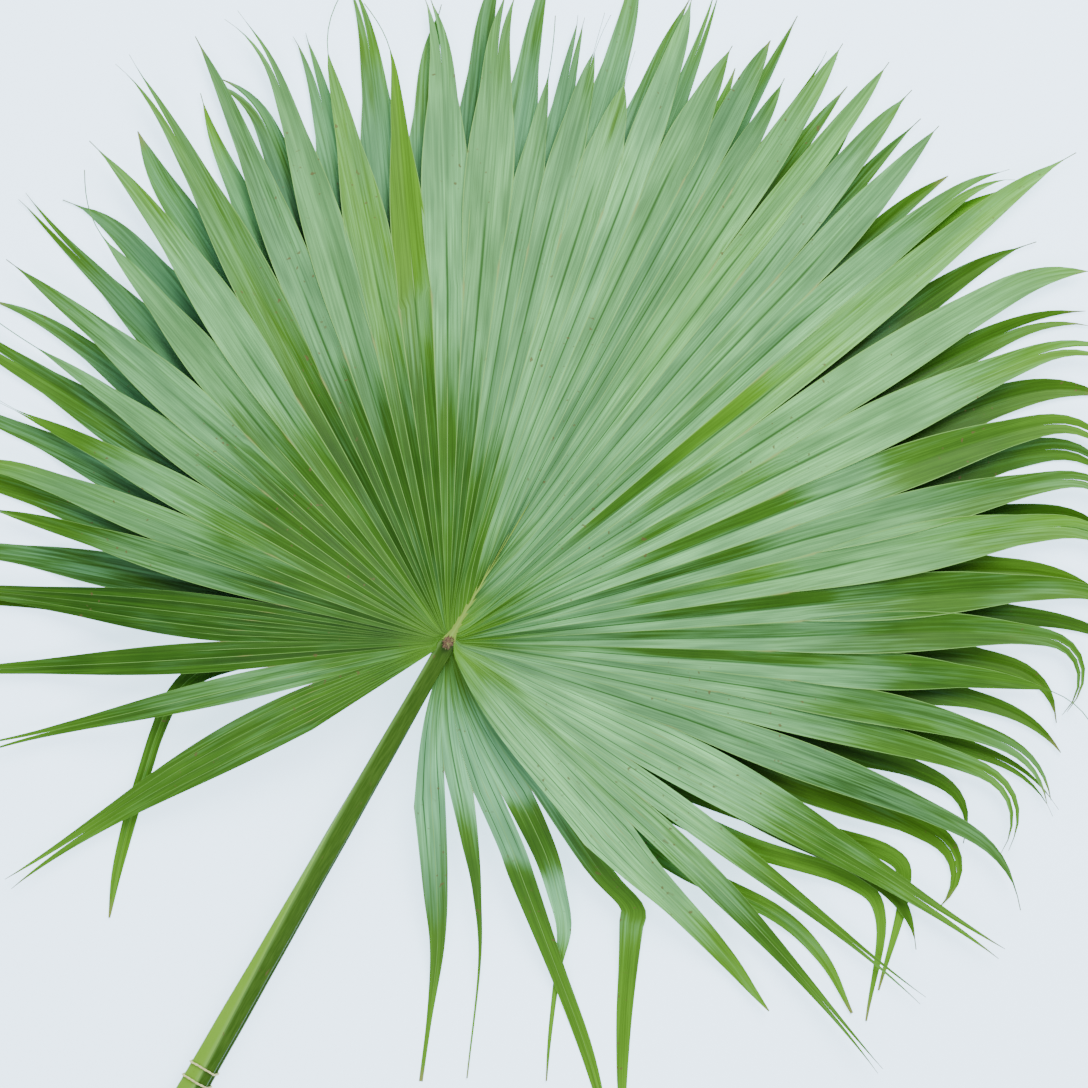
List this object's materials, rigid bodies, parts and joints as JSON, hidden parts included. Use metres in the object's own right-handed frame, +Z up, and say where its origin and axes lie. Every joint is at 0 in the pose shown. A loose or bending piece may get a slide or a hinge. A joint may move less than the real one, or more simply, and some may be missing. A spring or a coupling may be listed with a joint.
{
  "type": "fan palm leaf",
  "caption": "Tied pair of cut fan palm leaves lying flat: pleated round blades split into drooping pointed segments, on long straight stalks bound with string.",
  "frame": {"origin": "on the floor, at the centre of the bounding box's lowest face", "axes": "+Y along the stalks from their cut ends to the leaf apex, +Z up out of the upper leaf surface, +X to the right with the apex pointing away"},
  "size_m": [1.2646, 1.3292, 0.0788],
  "materials": {
    "front_blade": "satin",
    "back_blade": "satin",
    "petiole": "satin",
    "hastula": "matte",
    "string": "matte"
  },
  "bodies": {
    "root": {"front_blade": "front_blade", "back_blade": "back_blade", "front_petiole": "petiole", "back_petiole": "petiole", "front_hastula": "hastula", "back_hastula": "hastula", "tie_1": "string", "tie_2": "string"}
  },
  "joints": []
}
